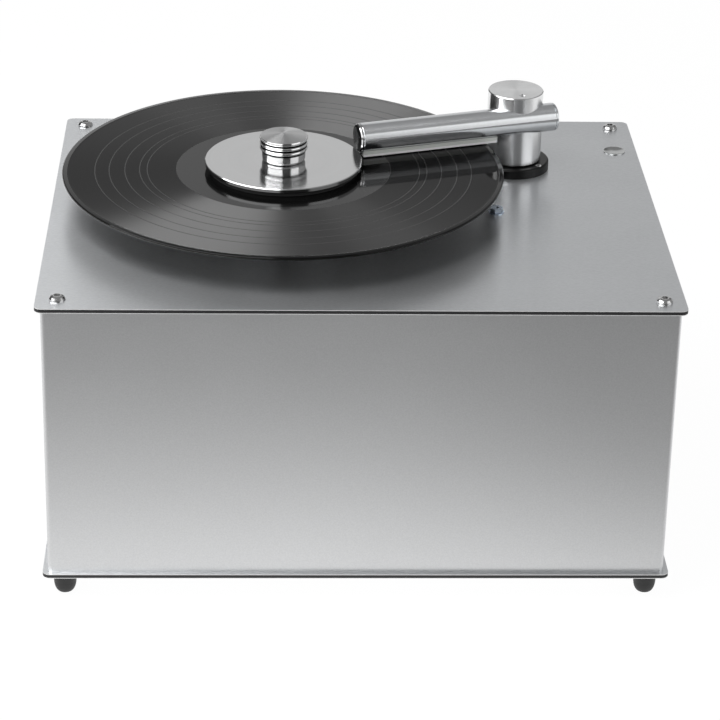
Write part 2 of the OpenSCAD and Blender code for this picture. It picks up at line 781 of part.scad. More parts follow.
module tank_lid() color([0.85, 0.85, 0.83]) deck() difference() {
    union() {
        translate([tank_x, tank_y, tank_top]) linear_extrude(lid_t)
            rounded_rect(tank_w + 2 * lid_lip, tank_d + 2 * lid_lip, tank_corner_r + lid_lip);
        translate([tank_x, tank_y, tank_top - lid_t]) linear_extrude(lid_t + cut) rounded_rect(
            tank_w - 2 * lid_inset, tank_d - 2 * lid_inset, tank_corner_r - tank_wall);
        tank_spigots() cylinder(h = spigot_len + lid_t, r = spigot_r);
    }
    tank_spigots() translate([0, 0, -tank_bore_in])
        cylinder(h = spigot_len + lid_t + tank_bore_in + 2 * cut, r = spigot_r - spigot_wall);
}

module tank_spigots() {
    translate([hose_tank_x, post_y, tank_top]) children();
    translate([vacuum_tank_x, fan_y, tank_top]) children();
}

// Drum round the impeller, with an inlet on top and an outlet at the side
module fan_housing() color([0.14, 0.14, 0.15]) deck() translate([fan_x, fan_y, 0]) difference() {
    union() {
        translate([0, 0, fan_z]) cylinder(h = fan_h, r = fan_r);
        translate([0, 0, fan_top - cut]) cylinder(h = spigot_len + cut, r = spigot_r);
        translate([-lug_w / 2, 0, fan_z + outlet_lift]) cube([lug_w, fan_r, outlet_h]);
        translate([0, -outlet_w / 2, fan_z]) cube([fan_r + outlet_len, outlet_w, outlet_h]);
    }
    translate([0, 0, fan_z + fan_wall]) cylinder(h = fan_h - 2 * fan_wall, r = fan_r - fan_wall);
    translate([0, 0, fan_top - fan_wall - cut])
        cylinder(h = spigot_len + fan_wall + 2 * cut, r = spigot_r - spigot_wall);
    translate([0, 0, fan_z - cut]) cylinder(h = fan_wall + 2 * cut, r = output_r + run_gap);
    translate([0, -outlet_w / 2 + fan_wall, fan_z + fan_wall])
        cube([fan_r + outlet_len + cut, outlet_w - 2 * fan_wall, outlet_h - 2 * fan_wall]);
}

module vacuum_motor() color([0.45, 0.46, 0.48]) deck() translate([fan_x, fan_y, 0]) difference() {
    union() {
        translate([0, 0, vac_z]) cylinder(h = fan_z - vac_z, r = vac_r);
        translate([0, 0, fan_z - vac_rim_h]) cylinder(h = vac_rim_h, r = vac_r + vac_rim_h / 2);
    }
    translate([0, 0, fan_z - vac_shaft_len - hose_end_gap])
        cylinder(h = vac_shaft_len + 2 * hose_end_gap, r = output_r + run_gap);
    for (i = [0 : vac_vents - 1]) rotate([0, 0, 360 * i / vac_vents])
        translate([vac_r - vac_vent_d, -vac_rim_h / 2, vac_z + vac_rim_h])
            cube([2 * vac_vent_d, vac_rim_h, (fan_z - vac_z) / 3]);
}

module motor_mounts() color([0.07, 0.07, 0.07]) deck() translate([fan_x, fan_y, floor_z])
    for (i = [0 : 2]) rotate([0, 0, 120 * i + 90]) translate([vac_r * 0.65, 0, 0])
        cylinder(h = mount_t, r = vac_r / 5);

// Angle at which the blades' arc crosses a circle of the given radius about the shaft
function blade_angle(r) =
    acos((pow(r, 2) - pow(blade_arc_d, 2) - pow(blade_arc_r, 2)) / (2 * blade_arc_d * blade_arc_r));

// Closed wheel: back disc, backward curved blades, front shroud with its eye, and the motor's shaft
module impeller() color([0.82, 0.83, 0.84]) deck() translate([fan_x, fan_y, 0]) {
    disc_z = fan_z + fan_wall + impeller_gap;
    wheel_h = fan_h - 2 * fan_wall - 2 * impeller_gap - spigot_wall;
    blade_sweep = blade_angle(blade_in_r + blade_t) - blade_angle(impeller_r - blade_t);
    translate([0, 0, disc_z]) cylinder(h = blade_t, r = impeller_r);
    translate([0, 0, disc_z + wheel_h - blade_t]) tube(blade_t, impeller_r, blade_in_r);
    translate([0, 0, disc_z]) cylinder(h = wheel_h / 2, r = blade_in_r / 2);
    translate([0, 0, fan_z - vac_shaft_len]) cylinder(h = disc_z - fan_z + vac_shaft_len + cut, r = output_r);
    for (i = [0 : blade_count - 1]) rotate([0, 0, 360 * i / blade_count])
        translate([blade_arc_d, 0, disc_z + blade_t / 2]) rotate([0, 0, blade_angle(impeller_r - blade_t)])
            rotate_extrude(angle = blade_sweep, $fn = 64)
                translate([blade_arc_r - blade_t / 2, 0]) square([blade_t, wheel_h - blade_t]);
}

module drain_hose() color([0.16, 0.16, 0.17]) deck()
    translate([drain_x, tank_y + tank_d / 2 + 0.5, drain_z]) rotate([-90, 0, 0])
        tube(panel_y - port_len - tank_y - tank_d / 2 - 1, hose_r, spigot_r + fit_gap);

// Bush in the rear panel that the drain plug closes
module drain_port() color([0.12, 0.12, 0.13]) deck() translate([drain_x, panel_y, drain_z])
    rotate([-90, 0, 0]) difference() {
        union() {
            cylinder(h = drain_flange_t, r = drain_flange_r);
            translate([0, 0, -port_len]) cylinder(h = port_len + cut, r = drain_body_r);
            translate([0, 0, -port_len - spigot_len]) cylinder(h = spigot_len + cut, r = spigot_r);
            translate([0, 0, -sheet_t - port_nut_t]) cylinder(h = port_nut_t, r = port_nut_r, $fn = 6);
        }
        translate([0, 0, -port_len - spigot_len - cut])
            cylinder(h = port_len + spigot_len, r = spigot_r - spigot_wall);
        translate([0, 0, -drain_bore_len - 2]) cylinder(
            h = drain_bore_len + 2 + drain_flange_t + cut, r = drain_bore_r + run_gap);
    }

module at_inlet() {
    translate([inlet_x, panel_y, inlet_z]) children();
}

// Mains inlet with a drawer for its fuse above the socket
module power_inlet() color([0.08, 0.08, 0.08]) deck() at_inlet() difference() {
    union() {
        rotate([-90, 0, 0]) linear_extrude(inlet_flange_t)
            rounded_rect(inlet_w, inlet_h, inlet_corner_r);
        translate([-inlet_w / 2 + inlet_inset, -inlet_depth, -inlet_h / 2 + inlet_inset])
            cube([inlet_w - 2 * inlet_inset, inlet_depth + cut, inlet_h - 2 * inlet_inset]);
    }
    translate([-socket_w / 2, socket_y, socket_z]) cube([socket_w, socket_depth + cut, socket_h]);
    translate([-socket_w / 2 - drawer_gap, inlet_flange_t - drawer_depth - drawer_gap, drawer_z - drawer_gap])
        cube([socket_w + 2 * drawer_gap, drawer_depth + 2 * cut, drawer_h + 2 * drawer_gap]);
}

module inlet_pins() color([0.8, 0.74, 0.5]) deck() at_inlet()
    for (p = [[-7, -2], [7, -2], [0, 3]])
        translate([p[0] - pin_w / 2, socket_y, socket_z + socket_h / 2 + p[1] - pin_h / 2])
            cube([pin_w, socket_depth - pin_recess, pin_h]);

module fuse_drawer() color([0.11, 0.11, 0.11]) deck() at_inlet() difference() {
    translate([-socket_w / 2, inlet_flange_t - drawer_depth, drawer_z])
        cube([socket_w, drawer_depth, drawer_h]);
    translate([-socket_w / 2 + drawer_wall, -drawer_depth + drawer_wall + cut, drawer_z + drawer_wall / 2])
        cube([socket_w - 2 * drawer_wall, 4 * drawer_wall, drawer_h]);
    translate([-grip_w / 2, inlet_flange_t - cut, drawer_z - cut]) cube([grip_w, 2 * cut, drawer_wall]);
}

// Snap-in frame of a side switch: x is 0 on the wall's outer face
module switch_frame(y) {
    translate([wrap_w / 2, y, switch_z]) difference() {
        union() {
            translate([0, -switch_w / 2, -switch_h / 2]) cube([bezel_t, switch_w, switch_h]);
            translate([-switch_depth, -switch_w / 2 + switch_inset, -switch_h / 2 + switch_inset])
                cube([switch_depth + cut / 2, switch_w - 2 * switch_inset, switch_h - 2 * switch_inset]);
            for (i = [-1 : 1]) translate([-switch_depth - tab_len, -tab_w / 2, i * tab_w - tab_t / 2])
                cube([tab_len + cut, tab_w, tab_t]);
        }
        translate([-switch_depth + 2 * bezel_t, -rocker_w / 2 - seat_gap, -rocker_open / 2])
            cube([switch_depth + 2 * cut, rocker_w + 2 * seat_gap, rocker_open]);
        translate([-rocker_pivot, 0, 0]) rotate([90, 0, 0])
            cylinder(h = rocker_pin_len + 2 * screw_slack, r = rocker_pin_r + run_gap, center = true);
    }
}

// Rocker with a shallow V face, tilted about its pin
module rocker(y, tilt) {
    half = rocker_open / 2 - rocker_end_gap;
    translate([wrap_w / 2 - rocker_pivot, y, switch_z]) rotate([0, tilt, 0]) {
        rotate([90, 0, 0]) linear_extrude(rocker_w, center = true) polygon([
            [rocker_pivot + rocker_face, half], [rocker_pivot + rocker_dip, 0],
            [rocker_pivot + rocker_face, -half], [rocker_pivot - 1, -half], [-3, -3.4],
            [-4, 0], [-3, 3.4], [rocker_pivot - 1, half]
        ]);
        rotate([90, 0, 0]) cylinder(h = rocker_pin_len, r = rocker_pin_r, center = true);
    }
}

module suction_switch_frame() color([0.09, 0.09, 0.09]) deck() switch_frame(switch_y[0]);
module rotation_switch_frame() color([0.09, 0.09, 0.09]) deck() switch_frame(switch_y[1]);
module suction_rocker() color([0.13, 0.13, 0.13]) deck() rocker(switch_y[0], rocker_tilt);
module rotation_rocker() color([0.13, 0.13, 0.13]) deck() rocker(switch_y[1], 0);

// Board on four pillars with its transformer and two relays
module control_board() color([0.12, 0.32, 0.2]) deck() translate([board_x, board_y, floor_z]) {
    translate([0, 0, pillar_h]) cube([board_w, board_d, board_t]);
    for (x = [board_inset, board_w - board_inset], y = [board_inset, board_d - board_inset])
        translate([x, y, 0]) cylinder(h = pillar_h + board_t / 2, r = pillar_r);
    translate([0, 0, pillar_h + board_t / 2]) {
        translate([(board_w - coil_w) / 2, 2 * board_inset, 0]) cube([coil_w, coil_w, coil_h]);
        for (i = [0, 1])
            translate([(board_w - relay_w) / 2, board_d / 2 + board_inset + i * relay_w * 3 / 4, 0])
                cube([relay_w, relay_w / 2, relay_h]);
    }
}

module platter() color([0.72, 0.73, 0.74]) deck() at_record() difference() {
    union() {
        rotate_extrude() polygon([
            [0, platter_z], [platter_r - 1, platter_z], [platter_r, platter_z + 1],
            [platter_r, mat_z], [0, mat_z]
        ]);
        translate([0, 0, bearing_t + collar_t])
            cylinder(h = platter_z - bearing_t - collar_t + cut, r = platter_boss_r);
    }
    cylinder(h = record_h, r = shaft_r + fit_gap);
    translate([0, 0, platter_z - cut]) tube(2 + cut, platter_r - 8, platter_boss_r + 8);
}

module platter_mat() color([0.07, 0.07, 0.07]) deck() at_record()
    translate([0, 0, mat_z]) tube(mat_t, platter_r, platter_boss_r);

// Shaft with a thrust collar, and the pin that centres the record and takes the clamp
module spindle() color([0.8, 0.8, 0.82]) deck() at_record() {
    rotate_extrude() polygon([
        [0, shaft_end], [shaft_r, shaft_end], [shaft_r, bearing_t],
        [shaft_r + 4, bearing_t], [shaft_r + 4, bearing_t + collar_t],
        [shaft_r, bearing_t + collar_t], [shaft_r, mat_z], [pin_r, mat_z],
        [pin_r, clamp_top + pin_len - 1.2], [pin_r - 1.2, clamp_top + pin_len], [0, clamp_top + pin_len]
    ]);
}

module record() color([0.05, 0.05, 0.05]) deck() at_record()
    translate([0, 0, record_h - record_t]) rotate_extrude($fn = 180) polygon(concat(
        [[pin_r + run_gap, 0], [label_r, 0], [label_r + 1, groove_relief],
            [record_r - rim_w, groove_relief], [record_r - rim_w + 1.5, 0]],
        [for (a = [-90 : 22.5 : 90]) [
            record_r - record_t / 2 + record_t / 2 * cos(a), record_t / 2 + record_t / 2 * sin(a)
        ]],
        [[record_r - rim_w + 1.5, record_t], [record_r - rim_w, record_t - groove_relief],
            [label_r + 1, record_t - groove_relief], [label_r, record_t], [pin_r + run_gap, record_t]]
    ));

module shaft_coupling() color([0.7, 0.7, 0.72]) deck() at_record() difference() {
    translate([0, 0, coupling_top - coupling_len]) cylinder(h = coupling_len, r = coupling_r);
    translate([0, 0, shaft_end - fit_gap]) cylinder(h = coupling_len, r = shaft_r + fit_gap);
    translate([0, 0, coupling_top - coupling_len - cut]) cylinder(h = coupling_len, r = output_r + fit_gap);
    for (i = [0 : 2]) translate([0, 0, shaft_end - 5 - 3 * i]) tube(1.2, coupling_r + cut, coupling_r - 2);
}

module gearbox_shaft() color([0.75, 0.75, 0.77]) deck() at_record()
    translate([0, 0, bracket_z - output_depth])
        cylinder(h = shaft_end - 4 - bracket_z + output_depth, r = output_r);

module clamp_disc() color([0.78, 0.78, 0.79]) deck() at_record() translate([0, 0, clamp_z])
    rotate_extrude() polygon([
        [pin_r + run_gap, 0], [clamp_r - disc_bevel, 0], [clamp_r, disc_bevel],
        [clamp_r, clamp_t - disc_bevel], [clamp_r - disc_bevel, clamp_t], [pin_r + run_gap, clamp_t]
    ]);

module clamp_seal() color([0.03, 0.03, 0.03]) deck() at_record()
    translate([0, 0, record_h]) tube(seal_t, seal_r, platter_boss_r);

// Height of the middle of one of the knob's ribs above the clamp disc
function rib_z(i) = knob_foot_h + rib_pitch * (i + 0.5);

// Points down the outside of a rib, between two angles from its middle
function rib_arc(i, from, to) = [
    for (a = [from : rib_step : to]) [
        knob_r - rib_bulge + rib_bulge * cos(a),
        rib_z(i) + rib_pitch / 2 * sin(a) / sin(rib_reach)
    ]
];

// Turned knob: flared foot, rounded ribs, and a cone up to the flat of its top
module clamp_knob() color([0.84, 0.84, 0.85]) deck() at_record() translate([0, 0, clamp_top])
    difference() {
        rotate_extrude() polygon(concat(
            [[0, 0]],
            [for (a = [0 : 15 : 90]) [
                knob_foot_r + (knob_neck_r - knob_foot_r) * sin(a), knob_flare_h * (1 - cos(a))
            ]],
            [[knob_neck_r, knob_foot_h - knob_edge]],
            [for (i = [0 : rib_count - 2]) each rib_arc(i, -rib_reach, rib_reach)],
            rib_arc(rib_count - 1, -rib_reach, rib_step),
            [[knob_flat_r, knob_h], [0, knob_h]]
        ));
        translate([0, 0, -cut]) cylinder(h = pin_len + cut + knob_edge, r = pin_r + run_gap);
    }

// Sprung sleeve that rises and falls in the socket and carries the turning arm
module lift_sleeve() color([0.78, 0.66, 0.36]) deck() translate([post_x, post_y, sleeve_end])
    tube(sleeve_top - sleeve_end, sleeve_r, stem_r + run_gap);

// Solid post with an off-centre cross bore for the tube and a bore for the stem
module arm_post() color([0.8, 0.81, 0.82]) deck() arm_frame() difference() {
    rotate_extrude() polygon([
        [0, post_z], [post_r - tube_bevel, post_z], [post_r, post_z + tube_bevel],
        [post_r, post_top - tube_bevel], [post_r - tube_bevel, post_top], [0, post_top]
    ]);
    along_tube(-2 * post_r, 4 * post_r, tube_r + fit_gap);
    translate([0, 0, post_z - cut]) cylinder(h = stem_top - post_z + cut + fit_gap, r = stem_r + fit_gap);
    translate([0, 0, post_z]) cylinder(h = tube_h - post_z, r = stem_r - stem_wall);
    translate([0, -tube_offset, tube_h]) cylinder(h = post_top, r = set_screw_r + fit_gap);
}

module arm_stem() color([0.75, 0.75, 0.77]) deck() translate([post_x, post_y, stem_end])
    tube(stem_top - stem_end, stem_r, stem_r - stem_wall);

module arm_tube() color([0.8, 0.81, 0.82]) deck() arm_frame() difference() {
    translate([-tube_reach + plug_face_t, -tube_offset, tube_h]) rotate([0, 90, 0]) rotate_extrude()
        polygon([
            [tube_r - tube_wall, 0], [tube_r - tube_bevel, 0], [tube_r, tube_bevel],
            [tube_r, tube_len - tube_bevel], [tube_r - tube_bevel, tube_len], [tube_r - tube_wall, tube_len]
        ]);
    translate([-tube_reach + nozzle_tip + slot_margin, -tube_offset - slot_w / 2, tube_h - 2 * tube_r])
        cube([nozzle_len - 2 * slot_margin, slot_w, 2 * tube_r]);
    translate([0, -tube_offset / 2 - 1, post_z]) cylinder(h = tube_h - post_z, r = air_hole_r);
}

// Plug with a dished polished face on a short spigot
module tube_plug(dish) {
    difference() {
        rotate_extrude() polygon([
            [0, 0], [tube_r - plug_lip - plug_bevel, 0], [tube_r - plug_lip, plug_bevel],
            [tube_r - plug_lip, plug_face_t], [tube_r - tube_wall - fit_gap, plug_face_t],
            [tube_r - tube_wall - fit_gap, plug_face_t + plug_spigot_len], [0, plug_face_t + plug_spigot_len]
        ]);
        if (dish > 0) translate([0, 0, dish - plug_sphere_r]) sphere(r = plug_sphere_r);
    }
}

module arm_end_plug() color([0.72, 0.73, 0.74]) deck() arm_frame()
    translate([-tube_reach, -tube_offset, tube_h]) rotate([0, 90, 0]) tube_plug(1.4);

module arm_tail_plug() color([0.72, 0.73, 0.74]) deck() arm_frame()
    translate([tube_tail, -tube_offset, tube_h]) rotate([0, -90, 0]) tube_plug(0);

// Bar under the tube, hollowed to fit it, with the suction slot down its middle
module nozzle_bar() color([0.6, 0.61, 0.62]) deck() arm_frame() difference() {
    translate([-tube_reach + nozzle_tip, -tube_offset - nozzle_w / 2, bar_z])
        cube([nozzle_len, nozzle_w, bar_top - bar_z]);
    along_tube(-2 * tube_reach, 4 * tube_reach, tube_r + fit_gap);
    translate([-tube_reach + nozzle_tip + slot_margin, -tube_offset - slot_w / 2, bar_z - cut])
        cube([nozzle_len - 2 * slot_margin, slot_w, 2 * tube_r]);
}

module velvet_strips() color([0.62, 0.63, 0.64]) deck() arm_frame()
    for (y = [-nozzle_w / 2, slot_w / 2])
        translate([-tube_reach + nozzle_tip, -tube_offset + y, velvet_z])
            cube([nozzle_len, nozzle_w / 2 - slot_w / 2, velvet_t]);

module arm_set_screw() color([0.6, 0.6, 0.62]) deck() arm_frame()
    translate([0, -tube_offset, tube_h + tube_r + fit_gap]) difference() {
        cylinder(h = post_top - tube_h - tube_r - set_recess, r = set_screw_r);
        translate([0, 0, post_top - tube_h - tube_r - 3]) cylinder(h = 4, r = set_key_r, $fn = 6);
    }

// Screw-in plug with a gripped head
module drain_plug() color([0.1, 0.1, 0.1]) deck() translate([drain_x, panel_y + drain_flange_t, drain_z])
    rotate([-90, 0, 0]) {
        head_t = plug_stand + plate_overhang - drain_flange_t;
        difference() {
            cylinder(h = head_t, r = plug_head_r);
            for (i = [0 : grip_count - 1]) rotate([0, 0, 360 * i / grip_count])
                translate([plug_head_r + grip_r / 3, 0, drain_flange_t])
                    cylinder(h = head_t, r = grip_r, $fn = 24);
        }
        translate([0, 0, -drain_bore_len]) cylinder(h = drain_bore_len + cut, r = drain_bore_r);
    }

top_plate();
top_plate_core();
bottom_plate();
bottom_plate_core();
cabinet_wrap();
rear_panel();
rear_panel_screws();
corner_posts();
top_screws();
feet();
foot_studs();
dished_plug();
bracket_bolts();
fan_bracket();
spindle_bearing();
motor_bracket();
motor_standoffs();
gear_motor();
arm_flange();
flange_screws();
arm_socket();
suction_chamber();
lift_spring();
tank_hose();
waste_tank();
tank_lid();
vacuum_hose();
fan_housing();
vacuum_motor();
motor_mounts();
drain_hose();
drain_port();
power_inlet();
inlet_pins();
suction_switch_frame();
rotation_switch_frame();
control_board();
platter();
platter_mat();
spindle();
record();
shaft_coupling();
gearbox_shaft();
clamp_disc();
clamp_knob();
clamp_seal();
lift_sleeve();
arm_post();
arm_stem();
arm_tube();
arm_end_plug();
arm_tail_plug();
nozzle_bar();
velvet_strips();
arm_set_screw();
impeller();
suction_rocker();
rotation_rocker();
fuse_drawer();
drain_plug();
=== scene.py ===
"""Looks of the record cleaning machine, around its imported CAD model."""

import math

import bpy
from mathutils import Matrix, Vector


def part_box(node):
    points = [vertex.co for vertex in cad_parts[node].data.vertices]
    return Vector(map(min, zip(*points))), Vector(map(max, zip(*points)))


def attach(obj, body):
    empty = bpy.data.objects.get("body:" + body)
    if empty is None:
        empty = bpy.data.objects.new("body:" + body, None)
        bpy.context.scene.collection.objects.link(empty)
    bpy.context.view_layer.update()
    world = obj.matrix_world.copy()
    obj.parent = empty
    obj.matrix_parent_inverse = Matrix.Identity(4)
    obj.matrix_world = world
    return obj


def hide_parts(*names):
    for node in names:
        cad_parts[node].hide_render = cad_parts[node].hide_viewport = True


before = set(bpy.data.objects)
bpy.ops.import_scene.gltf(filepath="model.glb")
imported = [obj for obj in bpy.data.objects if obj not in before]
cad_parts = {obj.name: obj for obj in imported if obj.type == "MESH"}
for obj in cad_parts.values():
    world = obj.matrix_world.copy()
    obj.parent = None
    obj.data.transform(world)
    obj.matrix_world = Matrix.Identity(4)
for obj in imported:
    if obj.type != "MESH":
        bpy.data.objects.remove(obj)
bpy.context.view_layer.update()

MM = 0.001
UP = (0.0, 0.0, 1.0)

# A vector times this keeps only what lies in the level
FLATTEN = (1.0, 1.0, 0.0)

# How the suction tube runs through its post
ARM_ANGLE = math.radians(17.1)
TUBE_OFFSET = 12.5 * MM
TUBE_HEIGHT = 40 * MM

# The clamp knob, from its foot on the disc to its flat top
KNOB_RADIUS = 16.4 * MM
KNOB_FOOT = 12.0 * MM
KNOB_NECK = 14.9 * MM
KNOB_FLARE = 2.4 * MM
NECK_TOP = 7.5 * MM
RIBS = 3
RIB_PITCH = 3.4 * MM
RIB_DEPTH = 1.4 * MM
EDGE_DEPTH = 0.6 * MM
KNOB_RIM = 17.3 * MM
KNOB_FLAT = 5.5 * MM
KNOB_TOP = 19.3 * MM

# The record's radii. Those of the smooth bands between its tracks are in millimetres.
TRACK_GAPS = (93.1, 98.2, 108.2, 118.9, 128.6)
GAP_CORE = 0.1 * MM
GAP_EDGE = 0.42 * MM
LABEL_INSIDE = 49.8 * MM
LABEL_OUTSIDE = 50.2 * MM
RUNOUT_INSIDE = 73.0 * MM
RUNOUT_OUTSIDE = 73.6 * MM
RIM_START = 147.2 * MM
RIM_BLEND = 0.4 * MM

# The record's vinyl in its grooves and where it is plain, its sloped rim and its label
RIM_SLOPE = 0.2
GROOVE_LEVEL = 0.12
GROOVE_ROUGH = (0.57, 0.63)
GROOVE_COAT = 0.33
PLAIN_LEVEL = 0.004
PLAIN_ROUGH_SHARE = 0.1
VINYL_IOR = 1.75
GRAZING_TINT = 0.15
LABEL_COLOR = (0.55, 0.53, 0.48, 1.0)
LABEL_ROUGH = 0.35

# How surfaces vary: from the darkest to the palest share of their own level
TOOTH_TINT = (0.88, 1.09)
RING_TINT = (0.94, 1.03)
PLATED_TINT = (0.88, 1.0)
MOULD_TINT = (0.82, 1.15)
GROOVE_TINT = (0.92, 1.08)
PILE_LEVELS = (0.75, 0.95)

# Where most of a noise lies, and what smears and dust do
MIDDLE_NOISE = (0.3, 0.7)
SMEAR_ROUGH = 0.02
DUST_SHARE = 0.05
DUST_LEVEL = 0.6

# The bare cut edge of a brushed sheet, painted pale as a painted highlight, told from its face by
# how far the surface faces up
EDGE_FACING = (0.3, 0.7)
EDGE_HIGHLIGHT_LEVEL = 0.9
EDGE_METALLIC = 0.2

# The clamp knob's grooves, darkened with painted shade, and its coarser top, also darkened with
# painted shade
GROOVE_BOTTOM = KNOB_RADIUS - 0.8 * MM
GROOVE_MOUTH = KNOB_RADIUS - 0.3 * MM
GROOVES_START = NECK_TOP - 1.0 * MM
GROOVES_END = NECK_TOP + 2.5 * RIB_PITCH
GROOVE_SHADE_LEVEL = 0.03
TOP_SHADE_LEVEL = 0.1
TOP_SHADE_SHARE = 0.35
TOP_ROUGH = 0.30

# A lathe's rings draw the gloss out across them, a quarter turn from the way they run
ACROSS = 0.25


def top_middle(low, high):
    """The middle of a box's top."""
    return Vector(((low.x + high.x) / 2, (low.y + high.y) / 2, high.z))


# Places that the looks are built around, in metres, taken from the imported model
spindle_axis = top_middle(*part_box("record"))
post_axis = top_middle(*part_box("arm_post"))
deck_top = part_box("top_plate")[1].z
knob_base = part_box("clamp_knob")[0].z

along_arm = Vector((math.cos(ARM_ANGLE), math.sin(ARM_ANGLE), 0))
across_arm = Vector((math.sin(ARM_ANGLE), -math.cos(ARM_ANGLE), 0))
tube_axis = Vector((post_axis.x, post_axis.y, deck_top + TUBE_HEIGHT)) + across_arm * TUBE_OFFSET


# Node trees

def add(tree, kind, **settings):
    """A new node. A setting that names a socket fills it, any other is an attribute."""
    made = tree.nodes.new(kind)
    for name, value in settings.items():
        if hasattr(made, name):
            setattr(made, name, value)
        else:
            plug(tree, made.inputs[name.replace("_", " ")], value)
    return made


def plug(tree, socket, value):
    """Links a socket to another one, or gives it a plain value."""
    if isinstance(value, bpy.types.NodeSocket):
        tree.links.new(value, socket)
    else:
        socket.default_value = value


def math_node(tree, operation, *values):
    made = add(tree, "ShaderNodeMath", operation=operation)
    for socket, value in zip(made.inputs, values):
        plug(tree, socket, value)
    return made.outputs[0]


def vector_node(tree, operation, *values):
    made = add(tree, "ShaderNodeVectorMath", operation=operation)
    for socket, value in zip(made.inputs, values):
        plug(tree, socket, value)
    gives_number = operation in ("LENGTH", "DOT_PRODUCT")
    return made.outputs["Value" if gives_number else "Vector"]


def scaled(tree, vector, factor):
    made = vector_node(tree, "SCALE", vector)
    plug(tree, made.node.inputs["Scale"], factor)
    return made


def to_world(tree, direction):
    """A direction in the object's own frame, given in the world's."""
    made = add(tree, "ShaderNodeVectorTransform", vector_type="VECTOR",
               convert_from="OBJECT", convert_to="WORLD")
    plug(tree, made.inputs[0], direction)
    return made.outputs[0]


def ramp(tree, value, low, high, out_low=0.0, out_high=1.0, smooth=False):
    """Maps one range of a value to another and stays at its ends beyond."""
    made = add(tree, "ShaderNodeMapRange", Value=value, From_Min=low, From_Max=high,
               To_Min=out_low, To_Max=out_high)
    made.interpolation_type = "SMOOTHSTEP" if smooth else "LINEAR"
    return made.outputs[0]


def noise(tree, vector, scale, detail, roughness):
    made = add(tree, "ShaderNodeTexNoise", Vector=vector, Scale=scale, Detail=detail,
               Roughness=roughness)
    return made.outputs["Fac"]


def from_noise(tree, mark, low, high):
    """Stretches the middle part of a noise, where most of it lies, over a range."""
    return ramp(tree, mark, *MIDDLE_NOISE, low, high)


def mix(tree, kind, places, values):
    """A mix node's outputs. The places of its sockets depend on the kind of value that it mixes."""
    made = add(tree, "ShaderNodeMix", data_type=kind)
    for place, value in zip(places, values):
        plug(tree, made.inputs[place], value)
    return made.outputs


def blend_values(tree, share, first, second):
    return mix(tree, "FLOAT", (0, 2, 3), (share, first, second))[0]


def blend_colors(tree, share, first, second):
    return mix(tree, "RGBA", (0, 6, 7), (share, first, second))[2]


def gray(level, warm=0.0):
    return (level * (1 + warm), level, level * (1 - warm), 1.0)


def toned(color, factor):
    """A color made darker or paler, up to white."""
    return [min(1.0, part * factor) for part in color] + [1.0]


# Node groups

def new_group(name, inputs, outputs):
    """A shader node group with named inputs (name, type, default) and outputs (name, type)."""
    tree = bpy.data.node_groups.new(name, "ShaderNodeTree")
    for label, kind, default in inputs:
        socket = tree.interface.new_socket(label, in_out="INPUT", socket_type="NodeSocket" + kind)
        if default is not None:
            socket.default_value = default
    for label, kind in outputs:
        tree.interface.new_socket(label, in_out="OUTPUT", socket_type="NodeSocket" + kind)
    entry = tree.nodes.new("NodeGroupInput")
    result = tree.nodes.new("NodeGroupOutput")
    return tree, entry.outputs, result.inputs


def grain_group():
    """Fine even grain with soft clouds in it, as on anodised sheet, rubber and moulded plastic."""
    tree, given, result = new_group(
        "surface_grain",
        [
            ("Vector", "Vector", None),
            ("Grain Size", "Float", 1500.0),
            ("Cloud Size", "Float", 30.0),
        ],
        [("Grain", "Float"), ("Clouds", "Float")],
    )
    grain = noise(tree, given["Vector"], given["Grain Size"], detail=2.0, roughness=0.6)
    clouds = noise(tree, given["Vector"], given["Cloud Size"], detail=4.0, roughness=0.6)
    plug(tree, result["Grain"], grain)
    plug(tree, result["Clouds"], clouds)
    return tree


def turning_group():
    """Rings that a lathe tool leaves about an axis, read from the radius and the height."""
    tree, given, result = new_group(
        "lathe_rings",
        [
            ("Vector", "Vector", None),
            ("Axis", "Vector", UP),
            ("Ring Size", "Float", 3000.0),
        ],
        [("Rings", "Float"), ("Bands", "Float"), ("Around", "Vector")],
    )
    height = vector_node(tree, "DOT_PRODUCT", given["Vector"], given["Axis"])
    radial = vector_node(tree, "SUBTRACT", given["Vector"], scaled(tree, given["Axis"], height))
    radius = vector_node(tree, "LENGTH", radial)
    place = add(tree, "ShaderNodeCombineXYZ", X=radius, Y=height).outputs[0]
    band_size = math_node(tree, "MULTIPLY", given["Ring Size"], 0.12)
    around = vector_node(tree, "CROSS_PRODUCT", given["Axis"], given["Vector"])
    plug(tree, result["Rings"], noise(tree, place, given["Ring Size"], detail=2.0, roughness=0.7))
    plug(tree, result["Bands"], noise(tree, place, band_size, detail=3.0, roughness=0.6))
    plug(tree, result["Around"], around)
    return tree


def handling_group():
    """Faint smears and specks of dust, as masks."""
    tree, given, result = new_group(
        "handling_marks",
        [
            ("Vector", "Vector", None),
            ("Smear Size", "Float", 25.0),
            ("Speck Size", "Float", 900.0),
        ],
        [("Smears", "Float"), ("Specks", "Float")],
    )
    smears = noise(tree, given["Vector"], given["Smear Size"], detail=5.0, roughness=0.7)
    specks = noise(tree, given["Vector"], given["Speck Size"], detail=1.0, roughness=0.5)
    plug(tree, result["Smears"], ramp(tree, smears, 0.45, 0.75, smooth=True))
    plug(tree, result["Specks"], ramp(tree, specks, 0.74, 0.8, smooth=True))
    return tree


GRAIN = grain_group()
TURNING = turning_group()
HANDLING = handling_group()


def use_group(tree, group, **given):
    """A group's outputs, with its inputs given by their names."""
    return add(tree, "ShaderNodeGroup", node_tree=group, **given).outputs


# Materials

def new_material(name):
    """A material with its node tree, its Principled shader and the object's coordinates."""
    made = bpy.data.materials.new(name)
    made.use_nodes = True
    tree = made.node_tree
    place = add(tree, "ShaderNodeTexCoord").outputs["Object"]
    return made, tree, tree.nodes["Principled BSDF"], place


def bump(tree, shader, height, strength, distance):
    made = add(tree, "ShaderNodeBump", Strength=strength, Distance=distance, Height=height)
    plug(tree, shader.inputs["Normal"], made.outputs[0])


